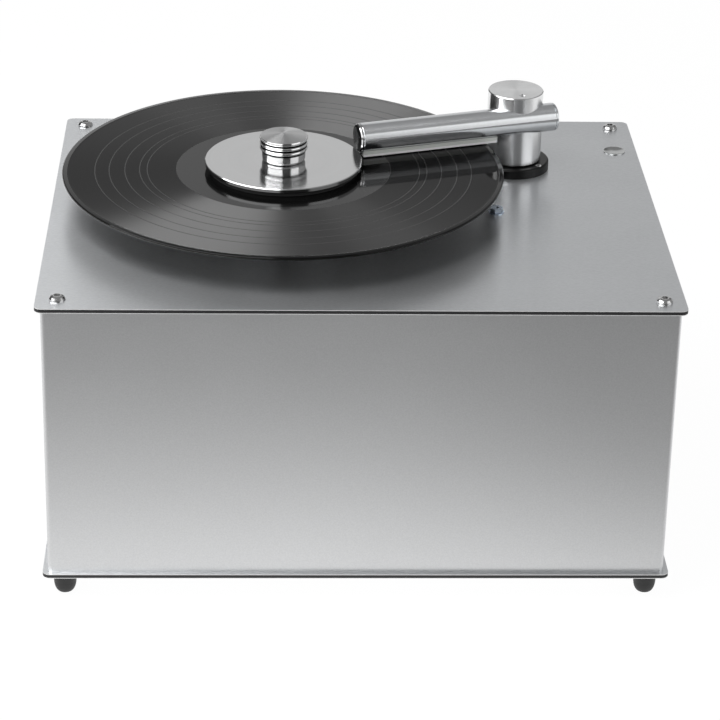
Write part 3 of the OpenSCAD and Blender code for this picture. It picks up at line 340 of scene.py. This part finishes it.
def smeared(tree, rough, place, smear_size):
    """A roughness with the faint smears of handling added."""
    hands = use_group(tree, HANDLING, Vector=place, Smear_Size=smear_size)
    added = math_node(tree, "MULTIPLY", hands["Smears"], SMEAR_ROUGH)
    return math_node(tree, "ADD", rough, added)


def spread_gloss(tree, shader, direction, amount, rotation=0.0):
    """Draws the gloss out along a direction, turned from it by a share of a whole turn."""
    plug(tree, shader.inputs["Tangent"], to_world(tree, direction))
    shader.inputs["Anisotropic"].default_value = amount
    shader.inputs["Anisotropic Rotation"].default_value = rotation


def satin_metal(name, level, rough, grain=2600.0, warm=-0.008, streak=1.0, brushed=0.0):
    """Anodised aluminium sheet with a fine tooth.

    A sheet that is brushed along X has its gloss drawn out along Y, and a bare cut edge painted
    pale as a painted highlight.
    """
    made, tree, shader, place = new_material(name)
    stretched = add(tree, "ShaderNodeMapping", Vector=place, Scale=(streak, 1.0, 1.0)).outputs[0]
    marks = use_group(tree, GRAIN, Vector=stretched, Grain_Size=grain, Cloud_Size=14.0)
    dark, pale = (gray(level * share, warm) for share in TOOTH_TINT)
    tint = blend_colors(tree, marks["Grain"], dark, pale)
    clouded = from_noise(tree, marks["Clouds"], rough - 0.015, rough + 0.02)
    plug(tree, shader.inputs["Roughness"], smeared(tree, clouded, place, smear_size=9.0))
    shader.inputs["Metallic"].default_value = 1.0
    if brushed:
        normal = add(tree, "ShaderNodeTexCoord").outputs["Normal"]
        upward = add(tree, "ShaderNodeSeparateXYZ", Vector=normal).outputs["Z"]
        # Painted highlight: the bare cut edge is painted pale and mostly unmetallic
        bare_edge_and_highlight = ramp(tree, math_node(tree, "ABSOLUTE", upward), *EDGE_FACING, 1.0, 0.0)
        tint = blend_colors(tree, bare_edge_and_highlight, tint, gray(EDGE_HIGHLIGHT_LEVEL))
        metallic = ramp(tree, bare_edge_and_highlight, 0.0, 1.0, 1.0, EDGE_METALLIC)
        plug(tree, shader.inputs["Metallic"], metallic)
        spread_gloss(tree, shader, (0.0, 1.0, 0.0), brushed)
    plug(tree, shader.inputs["Base Color"], tint)
    bump(tree, shader, marks["Grain"], strength=0.35, distance=0.02 * MM)
    return made


def turned_metal(name, level, rough, axis_point, axis=UP, anisotropy=1.0, rings=3500.0,
                 warm=-0.004, shading=None):
    """Aluminium or steel turned on a lathe: its gloss is drawn out across the tool's rings.

    Shading is a function that paints shade into the tint and changes the roughness of some part.
    """
    made, tree, shader, place = new_material(name)
    centred = vector_node(tree, "SUBTRACT", place, tuple(axis_point))
    marks = use_group(tree, TURNING, Vector=centred, Axis=tuple(axis), Ring_Size=rings)
    dark, pale = (gray(level * share, warm) for share in RING_TINT)
    tint = blend_colors(tree, marks["Bands"], dark, pale)
    if shading:
        tint, rough = shading(tree, centred, tint, rough)
    plug(tree, shader.inputs["Base Color"], tint)
    ringed = math_node(tree, "MULTIPLY", rough, from_noise(tree, marks["Rings"], 0.94, 1.06))
    plug(tree, shader.inputs["Roughness"], smeared(tree, ringed, place, smear_size=40.0))
    shader.inputs["Metallic"].default_value = 1.0
    spread_gloss(tree, shader, marks["Around"], anisotropy, rotation=ACROSS)
    bump(tree, shader, marks["Rings"], strength=0.3, distance=0.0015 * MM)
    return made


def knob_shading(tree, centred, tint, rough):
    """Paints shade into the clamp knob's grooves and onto its top, and roughens the top, which is
    faced off more coarsely.
    """
    foot = knob_base - spindle_axis.z
    radius = vector_node(tree, "LENGTH", vector_node(tree, "MULTIPLY", centred, FLATTEN))
    height = vector_node(tree, "DOT_PRODUCT", centred, UP)
    # Painted shade: the bottoms of the grooves are darkened towards near-black
    groove_shade = ramp(tree, radius, GROOVE_BOTTOM, GROOVE_MOUTH, 1.0, 0.0, smooth=True)
    above = math_node(tree, "GREATER_THAN", height, foot + GROOVES_START)
    below = math_node(tree, "LESS_THAN", height, foot + GROOVES_END)
    groove_shade = math_node(tree, "MULTIPLY", math_node(tree, "MULTIPLY", groove_shade, above), below)
    tint = blend_colors(tree, groove_shade, tint, gray(GROOVE_SHADE_LEVEL))
    # Painted shade: the top is darkened by a share of a dark gray, and it is also made rougher
    top = math_node(tree, "GREATER_THAN", height, foot + KNOB_RIM)
    top_shade = math_node(tree, "MULTIPLY", top, TOP_SHADE_SHARE)
    tint = blend_colors(tree, top_shade, tint, gray(TOP_SHADE_LEVEL))
    return tint, ramp(tree, top, 0.0, 1.0, rough, TOP_ROUGH)


def polished_metal(name, color, rough):
    """Plated or ground steel parts, small and bright."""
    made, tree, shader, place = new_material(name)
    marks = use_group(tree, GRAIN, Vector=place, Grain_Size=1800.0, Cloud_Size=220.0)
    dark, pale = (toned(color, share) for share in PLATED_TINT)
    plug(tree, shader.inputs["Base Color"], blend_colors(tree, marks["Clouds"], dark, pale))
    uneven = from_noise(tree, marks["Grain"], rough * 0.8, rough * 1.3)
    plug(tree, shader.inputs["Roughness"], uneven)
    shader.inputs["Metallic"].default_value = 1.0
    bump(tree, shader, marks["Grain"], strength=0.2, distance=0.01 * MM)
    return made


def moulded(name, color, rough, grain=2200.0, depth=0.03 * MM, coat=0.0, gloss=0.5):
    """Plastic or rubber from a mould, with its fine texture and the dust that settles in it."""
    made, tree, shader, place = new_material(name)
    marks = use_group(tree, GRAIN, Vector=place, Grain_Size=grain, Cloud_Size=35.0)
    hands = use_group(tree, HANDLING, Vector=place, Speck_Size=1400.0)
    dark, pale = (toned(color, share) for share in MOULD_TINT)
    tint = blend_colors(tree, marks["Grain"], dark, pale)
    dust = math_node(tree, "MULTIPLY", hands["Specks"], DUST_SHARE)
    plug(tree, shader.inputs["Base Color"], blend_colors(tree, dust, tint, gray(DUST_LEVEL)))
    uneven = from_noise(tree, marks["Clouds"], rough * 0.92, rough * 1.08)
    plug(tree, shader.inputs["Roughness"], uneven)
    shader.inputs["Coat Weight"].default_value = coat
    shader.inputs["Coat Roughness"].default_value = 0.08
    shader.inputs["Specular IOR Level"].default_value = gloss
    bump(tree, shader, marks["Grain"], strength=0.4, distance=depth)
    return made


def groove_gaps(tree, radius):
    """A mask of the smooth bands between the record's tracks."""
    gaps = 0.0
    for gap_radius in TRACK_GAPS:
        away = math_node(tree, "ABSOLUTE", math_node(tree, "SUBTRACT", radius, gap_radius * MM))
        band = ramp(tree, away, GAP_CORE, GAP_EDGE, 1.0, 0.0, smooth=True)
        gaps = math_node(tree, "MAXIMUM", gaps, band)
    return gaps


def vinyl_material():
    """Pressed vinyl. Its grooves mirror little at every angle: a dark metal under a thin coat."""
    made, tree, shader, place = new_material("pressed_vinyl")
    centred = vector_node(tree, "SUBTRACT", place, tuple(spindle_axis))
    flat = vector_node(tree, "MULTIPLY", centred, FLATTEN)
    radius = vector_node(tree, "LENGTH", flat)
    label = ramp(tree, radius, LABEL_INSIDE, LABEL_OUTSIDE, 1.0, 0.0)
    runout = ramp(tree, radius, RUNOUT_INSIDE, RUNOUT_OUTSIDE, 1.0, 0.0, smooth=True)
    rim = ramp(tree, radius, RIM_START, RIM_START + RIM_BLEND, smooth=True)
    ends = math_node(tree, "MAXIMUM", rim, runout)
    plain = math_node(tree, "MAXIMUM", ends, groove_gaps(tree, radius))

    ring = add(tree, "ShaderNodeCombineXYZ", X=radius).outputs[0]
    loudness = noise(tree, ring, 420.0, detail=4.0, roughness=0.65)
    dark, pale = (gray(GROOVE_LEVEL * share) for share in GROOVE_TINT)
    grooves = blend_colors(tree, loudness, dark, pale)
    shade = blend_colors(tree, plain, grooves, gray(PLAIN_LEVEL))
    plug(tree, shader.inputs["Base Color"], blend_colors(tree, label, shade, LABEL_COLOR))
    plug(tree, shader.inputs["Metallic"], ramp(tree, plain, 0.0, 1.0, 1.0, 0.0))
    shader.inputs["Specular Tint"].default_value = gray(GRAZING_TINT)
    shader.inputs["IOR"].default_value = VINYL_IOR

    polish = ramp(tree, plain, 0.0, 1.0, 1.0, PLAIN_ROUGH_SHARE)
    vinyl_rough = math_node(tree, "MULTIPLY", from_noise(tree, loudness, *GROOVE_ROUGH), polish)
    label_rough = math_node(tree, "MULTIPLY", label, LABEL_ROUGH)
    plug(tree, shader.inputs["Roughness"], math_node(tree, "ADD", vinyl_rough, label_rough))
    plug(tree, shader.inputs["Coat Weight"], ramp(tree, plain, 0.0, 1.0, GROOVE_COAT, 0.0))
    shader.inputs["Coat Roughness"].default_value = 0.03
    around = vector_node(tree, "CROSS_PRODUCT", UP, flat)
    spread_gloss(tree, shader, around, 1.0, rotation=ACROSS)

    outward = vector_node(tree, "NORMALIZE", flat)
    lean = scaled(tree, outward, math_node(tree, "MULTIPLY", rim, RIM_SLOPE))
    normal = add(tree, "ShaderNodeNewGeometry").outputs["Normal"]
    leaned = vector_node(tree, "ADD", normal, to_world(tree, lean))
    sloped = vector_node(tree, "NORMALIZE", leaned)
    for name in ("Normal", "Coat Normal"):
        plug(tree, shader.inputs[name], sloped)
    return made


def velvet_material():
    """The short white pile of the strips beside the slot."""
    made, tree, shader, place = new_material("short_velvet")
    pile = noise(tree, place, 5200.0, detail=2.0, roughness=0.7)
    lay = noise(tree, place, 160.0, detail=3.0, roughness=0.6)
    dark, pale = (gray(level) for level in PILE_LEVELS)
    plug(tree, shader.inputs["Base Color"], blend_colors(tree, pile, dark, pale))
    plug(tree, shader.inputs["Roughness"], from_noise(tree, lay, 0.8, 1.0))
    shader.inputs["Sheen Weight"].default_value = 0.8
    shader.inputs["Sheen Roughness"].default_value = 0.4
    bump(tree, shader, pile, strength=1.0, distance=0.25 * MM)
    return made


deck_sheet = satin_metal("brushed_deck_sheet", level=0.84, rough=0.345, grain=1100.0, warm=-0.02,
                         streak=0.4, brushed=0.84)
wall_sheet = satin_metal("satin_wall_sheet", level=0.70, rough=0.36, grain=1000.0)
inner_metal = satin_metal("plain_inner_metal", level=0.55, rough=0.35)

post_metal = turned_metal("turned_post", 0.82, 0.19, post_axis)
tube_metal = turned_metal("turned_tube", 0.80, 0.175, tube_axis, along_arm, warm=-0.02)
dish_metal = turned_metal("dished_end", 0.58, 0.11, tube_axis, along_arm, anisotropy=0.5)
knob_metal = turned_metal("turned_knob", 0.78, 0.15, spindle_axis, anisotropy=0.95, rings=2600.0,
                          shading=knob_shading)
disc_metal = turned_metal("faced_clamp_disc", 0.66, 0.13, spindle_axis, anisotropy=0.35,
                          rings=3000.0)

screw_steel = polished_metal("bright_screw_steel", (0.62, 0.62, 0.62), rough=0.14)
zinc_steel = polished_metal("zinc_plated_steel", (0.62, 0.70, 0.80), rough=0.2)
plug_metal = polished_metal("dished_plug_metal", (0.58, 0.59, 0.59), rough=0.09)
brass = polished_metal("turned_brass", (0.78, 0.60, 0.28), rough=0.25)

plate_core = moulded("dark_plate_core", (0.018, 0.018, 0.019), rough=0.55, grain=3000.0)
nozzle_plastic = moulded("pale_nozzle_bar", (0.62, 0.64, 0.61), rough=0.35, grain=2600.0,
                         depth=0.01 * MM)
flange_black = moulded("black_flange", (0.004, 0.004, 0.004), rough=0.3, grain=2500.0,
                       depth=0.006 * MM, gloss=0.25)
foot_rubber = moulded("foot_rubber", (0.020, 0.020, 0.020), rough=0.55, grain=1600.0)
seal_rubber = moulded("seal_rubber", (0.012, 0.012, 0.012), rough=0.7)
hose_rubber = moulded("hose_rubber", (0.05, 0.05, 0.052), rough=0.6)
black_plastic = moulded("black_plastic", (0.022, 0.022, 0.023), rough=0.42, grain=1800.0,
                        depth=0.05 * MM)
tank_plastic = moulded("milky_tank_plastic", (0.75, 0.75, 0.72), rough=0.45)
motor_paint = moulded("motor_paint", (0.12, 0.12, 0.13), rough=0.35, coat=0.3)
board_green = moulded("board_green", (0.03, 0.16, 0.07), rough=0.4)

vinyl = vinyl_material()
velvet = velvet_material()

FINISHES = {
    deck_sheet: ["top_plate", "bottom_plate"],
    plate_core: ["top_plate_core", "bottom_plate_core"],
    wall_sheet: ["cabinet_wrap", "rear_panel"],
    post_metal: ["arm_post"],
    tube_metal: ["arm_tube", "arm_tail_plug"],
    dish_metal: ["arm_end_plug"],
    knob_metal: ["clamp_knob"],
    disc_metal: ["clamp_disc", "platter"],
    inner_metal: [
        "corner_posts", "arm_socket", "shaft_coupling", "impeller", "fan_bracket", "motor_bracket",
    ],
    screw_steel: [
        "top_screws", "flange_screws", "arm_set_screw", "rear_panel_screws", "spindle", "arm_stem",
        "gearbox_shaft", "foot_studs", "lift_spring",
    ],
    zinc_steel: ["bracket_bolts"],
    nozzle_plastic: ["nozzle_bar"],
    plug_metal: ["dished_plug"],
    flange_black: ["arm_flange"],
    vinyl: ["record"],
    foot_rubber: ["feet", "motor_mounts"],
    seal_rubber: ["platter_mat", "clamp_seal"],
    hose_rubber: ["tank_hose", "vacuum_hose", "drain_hose"],
    velvet: ["velvet_strips"],
    black_plastic: [
        "suction_chamber", "fan_housing", "drain_port", "drain_plug", "power_inlet", "fuse_drawer",
        "suction_switch_frame", "rotation_switch_frame", "suction_rocker", "rotation_rocker",
    ],
    tank_plastic: ["waste_tank", "tank_lid"],
    motor_paint: ["gear_motor", "vacuum_motor", "spindle_bearing"],
    brass: ["lift_sleeve", "motor_standoffs", "inlet_pins"],
    board_green: ["control_board"],
}
for finish, nodes in FINISHES.items():
    for node in nodes:
        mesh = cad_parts[node].data
        mesh.materials.clear()
        mesh.materials.append(finish)


# Pieces shaped here

def start_round(name, centre, radius, sides):
    """A round face at its place, opened for shaping."""
    bpy.ops.object.select_all(action="DESELECT")
    bpy.ops.mesh.primitive_circle_add(
        vertices=sides, radius=radius, fill_type="NGON", location=centre
    )
    made = bpy.context.object
    made.name = name
    bpy.ops.object.transform_apply(location=True, rotation=True, scale=True)
    bpy.ops.object.mode_set(mode="EDIT")
    bpy.ops.mesh.select_all(action="SELECT")
    return made


def draw_up(centre, rise, share):
    """Pulls the open face up by a rise, and widens or narrows it about the axis."""
    bpy.ops.mesh.extrude_region_move(TRANSFORM_OT_translate={"value": (0.0, 0.0, rise)})
    bpy.ops.transform.resize(value=(share, share, 1.0), center_override=centre)


def turn_profile(name, centre, profile, sides=128):
    """A turned piece: rings drawn up one after another, each given by its radius and its height."""
    radius, height = profile[0]
    made = start_round(name, (centre[0], centre[1], centre[2] + height), radius, sides)
    for next_radius, next_height in profile[1:]:
        draw_up(centre, next_height - height, next_radius / radius)
        radius, height = next_radius, next_height
    return made


def finish_piece(made, body, slot, finish, *replaced):
    """Closes and smooths a piece, gives it its finish and body, and hides what it stands for."""
    bpy.ops.mesh.select_all(action="SELECT")
    bpy.ops.mesh.normals_make_consistent(inside=False)
    bpy.ops.object.mode_set(mode="OBJECT")
    bpy.ops.object.shade_smooth_by_angle(angle=math.radians(40.0))
    made.data.materials.clear()
    made.data.materials.append(finish)
    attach(made, body)
    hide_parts(*replaced)


def knob_profile():
    """The clamp knob from its foot up: a flare, a neck, the ribs and a low cone with a flat."""
    profile = []
    flare_steps = 6
    for step in range(flare_steps + 1):
        turn = math.radians(90 / flare_steps * step)
        radius = KNOB_FOOT + (KNOB_NECK - KNOB_FOOT) * math.sin(turn)
        profile.append((radius, KNOB_FLARE * (1 - math.cos(turn))))
    half_rib = 10
    rim_step = 8
    for rib in range(RIBS):
        last = rib == RIBS - 1
        middle = NECK_TOP + RIB_PITCH * (rib + 0.5)
        for step in range(-half_rib, (rim_step if last else half_rib) + 1):
            share = step / half_rib
            depth = EDGE_DEPTH if last and step > 0 else RIB_DEPTH
            profile.append((KNOB_RADIUS - depth * share ** 2, middle + RIB_PITCH / 2 * share))
    profile.append((KNOB_FLAT, KNOB_TOP))
    return profile


knob = turn_profile(
    "turned_clamp_knob", (spindle_axis.x, spindle_axis.y, knob_base), knob_profile()
)
finish_piece(knob, "clamp", "turned_aluminium", knob_metal, "clamp_knob")


# Studio

# The floor is mirrored white up to one line in front of the machine and dark beyond another. On the
# right both lines lie nearer by PALE_LOSS.
FLOOR_SIZE = 12.0
WHITE_FLOOR = 0.97
FAR_FLOOR = 0.24
DARK_LINE = -0.58
WHITE_LINE = -0.15
RIGHT_END = 0.3
PALE_LOSS = 0.12

PALE_WALL = 0.68
LEFT_GAP = 0.08
DIM_ROOM = 0.30
FRONT_GAP = 0.05
RIGHT_ROOM = 0.36
REAR_GAP = 0.12
CEILING = 0.30
CEILING_EDGE = (0.5, 0.72)

# How bright the walls round the machine are, at angles in degrees from the camera's side. The pale
# wall stands behind the machine, and dark gaps lie beside the lamps.
WALLS = (
    (-180, PALE_WALL), (-164, PALE_WALL),
    (-154, LEFT_GAP), (-90, LEFT_GAP),
    (-80, DIM_ROOM), (-12, DIM_ROOM),
    (-3, FRONT_GAP), (36, FRONT_GAP),
    (46, RIGHT_ROOM), (88, RIGHT_ROOM),
    (140, DIM_ROOM), (154, REAR_GAP),
    (166, PALE_WALL), (180, PALE_WALL),
)

ON_CLAMP = (-0.049, 0.003, 0.24)
OVER_MIDDLE = (0.0, 0.0, 0.25)

# The photograph's view: a long lens from the front, a little above
VIEW_TARGET = Vector((4.455 * MM, -2.75 * MM, 165.9 * MM))
VIEW_DISTANCE = 1.87244
VIEW_ELEVATION = math.radians(24.545)
VIEW_TURN = math.radians(-2.382)
VIEW_ROLL = math.radians(1.253)
FOCAL_LENGTH = 134.81
SENSOR_WIDTH = 36.0
LENS_SHIFT = -0.125


def separate(tree, coordinates):
    """The X, Y and Z parts of one kind of texture coordinates."""
    place = add(tree, "ShaderNodeTexCoord").outputs[coordinates]
    return add(tree, "ShaderNodeSeparateXYZ", Vector=place).outputs


def add_floor():
    """A pale table. Glossy surfaces see it white close by and darker some way in front."""
    bpy.ops.object.select_all(action="DESELECT")
    bpy.ops.mesh.primitive_plane_add(size=FLOOR_SIZE, location=(0.0, 0.0, 0.0))
    floor = bpy.context.object
    floor.name = "studio_floor"
    made, tree, shader, _ = new_material("studio_floor")
    shader.inputs["Base Color"].default_value = gray(0.04)
    shader.inputs["Roughness"].default_value = 1.0
    shader.inputs["Specular IOR Level"].default_value = 0.0
    parts = separate(tree, "Object")
    loss = ramp(tree, parts["X"], 0.0, RIGHT_END, 0.0, PALE_LOSS)
    ahead = math_node(tree, "SUBTRACT", parts["Y"], loss)
    mirrored = ramp(tree, ahead, DARK_LINE, WHITE_LINE, FAR_FLOOR, WHITE_FLOOR, smooth=True)
    to_camera = add(tree, "ShaderNodeLightPath").outputs["Is Camera Ray"]
    seen = blend_values(tree, to_camera, mirrored, WHITE_FLOOR)
    white = add(tree, "ShaderNodeEmission", Color=gray(1.0), Strength=seen)
    both = add(tree, "ShaderNodeAddShader")
    tree.links.new(shader.outputs[0], both.inputs[0])
    tree.links.new(white.outputs[0], both.inputs[1])
    tree.links.new(both.outputs[0], tree.nodes["Material Output"].inputs["Surface"])
    floor.data.materials.append(made)


def add_world():
    """Walls and a ceiling that only reflections see, since the camera sees white."""
    world = bpy.data.worlds.new("studio")
    bpy.context.scene.world = world
    world.use_nodes = True
    tree = world.node_tree
    parts = separate(tree, "Generated")
    ahead = math_node(tree, "MULTIPLY", parts["Y"], -1.0)
    angle = math_node(tree, "ARCTAN2", parts["X"], ahead)
    walls = add(tree, "ShaderNodeValToRGB")
    plug(tree, walls.inputs[0], ramp(tree, angle, -math.pi, math.pi))
    stops = walls.color_ramp.elements
    while len(stops) < len(WALLS):
        stops.new(0.5)
    for stop, (degrees, level) in zip(stops, WALLS):
        stop.position = (degrees + 180) / 360
        stop.color = gray(level)
    overhead = ramp(tree, parts["Z"], *CEILING_EDGE, smooth=True)
    room = blend_colors(tree, overhead, walls.outputs[0], gray(CEILING))
    to_camera = add(tree, "ShaderNodeLightPath").outputs["Is Camera Ray"]
    background = tree.nodes["Background"]
    plug(tree, background.inputs["Color"], blend_colors(tree, to_camera, room, gray(1.0)))
    background.inputs["Strength"].default_value = 1.0


def add_softbox(name, place, target, along, width, height, brightness):
    """A soft lamp that faces its target, with its width along a line and its cloth's brightness."""
    lamp = bpy.data.lights.new(name, "AREA")
    lamp.shape = "RECTANGLE"
    lamp.size, lamp.size_y = width, height
    lamp.energy = brightness * math.pi * width * height
    made = bpy.data.objects.new(name, lamp)
    bpy.context.scene.collection.objects.link(made)
    back = (Vector(place) - Vector(target)).normalized()
    side = (Vector(along) - back * back.dot(Vector(along))).normalized()
    turned = Matrix((side, back.cross(side), back)).transposed().to_4x4()
    made.matrix_world = Matrix.Translation(Vector(place)) @ turned


def add_camera():
    """Puts the camera where the photograph was taken from."""
    level = math.cos(VIEW_ELEVATION)
    back = Vector((
        math.sin(VIEW_TURN) * level,
        -math.cos(VIEW_TURN) * level,
        math.sin(VIEW_ELEVATION),
    ))
    lens = bpy.data.cameras.new("photo_camera")
    lens.lens = FOCAL_LENGTH
    lens.sensor_width = SENSOR_WIDTH
    lens.shift_y = LENS_SHIFT
    camera = bpy.data.objects.new("photo_camera", lens)
    bpy.context.scene.collection.objects.link(camera)
    aim = (-back).to_track_quat("-Z", "Y").to_matrix().to_4x4()
    stand = Matrix.Translation(VIEW_TARGET + back * VIEW_DISTANCE)
    camera.matrix_world = stand @ aim @ Matrix.Rotation(VIEW_ROLL, 4, "Z")
    bpy.context.scene.camera = camera


add_floor()
add_world()
add_softbox("key_box", place=(-0.885, -0.27, 1.457), target=ON_CLAMP,
            along=(-0.697, 0.679, -0.324), width=1.8, height=0.85, brightness=5.6)
add_softbox("left_box", place=(-1.13, -1.04, 0.85), target=ON_CLAMP,
            along=(0.68, -0.73, 0.0), width=2.5, height=0.9, brightness=1.65)
add_softbox("right_box", place=(1.32, -0.76, 0.75), target=OVER_MIDDLE,
            along=(0.5, 0.87, 0.0), width=1.35, height=1.2, brightness=0.95)
add_camera()

bpy.context.scene.view_settings.view_transform = "Standard"
